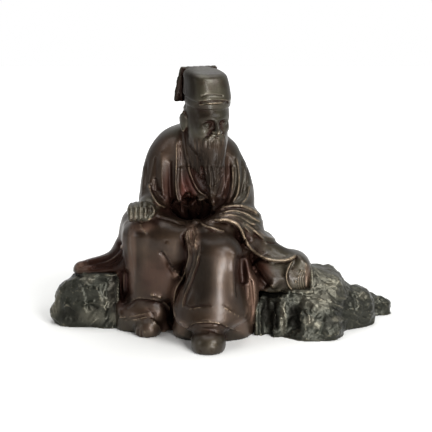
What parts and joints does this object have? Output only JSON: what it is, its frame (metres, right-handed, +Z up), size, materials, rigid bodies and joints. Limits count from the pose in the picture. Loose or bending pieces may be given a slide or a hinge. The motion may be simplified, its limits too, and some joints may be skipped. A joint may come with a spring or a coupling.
{
  "type": "bronze figure of a seated scholar",
  "caption": "Cast bronze figure of a bearded old scholar in long robes and a soft cap, seated on low rockwork, resting on its flat underside.",
  "frame": {"origin": "centre of the footprint's bounding box, on the flat underside", "axes": "+Z up, the figure faces -Y, +X to the viewer's right along the rockwork"},
  "size_m": [0.3535, 0.1532, 0.2601],
  "materials": {
    "brown_bronze": "cast bronze with a brown patina, satin, rubbed to gold on the edges",
    "dark_bronze": "cast bronze with a dark green-black patina, rough and pitted"
  },
  "bodies": {
    "root": {"seated_scholar": "brown_bronze", "rock_base": "dark_bronze"}
  },
  "joints": []
}
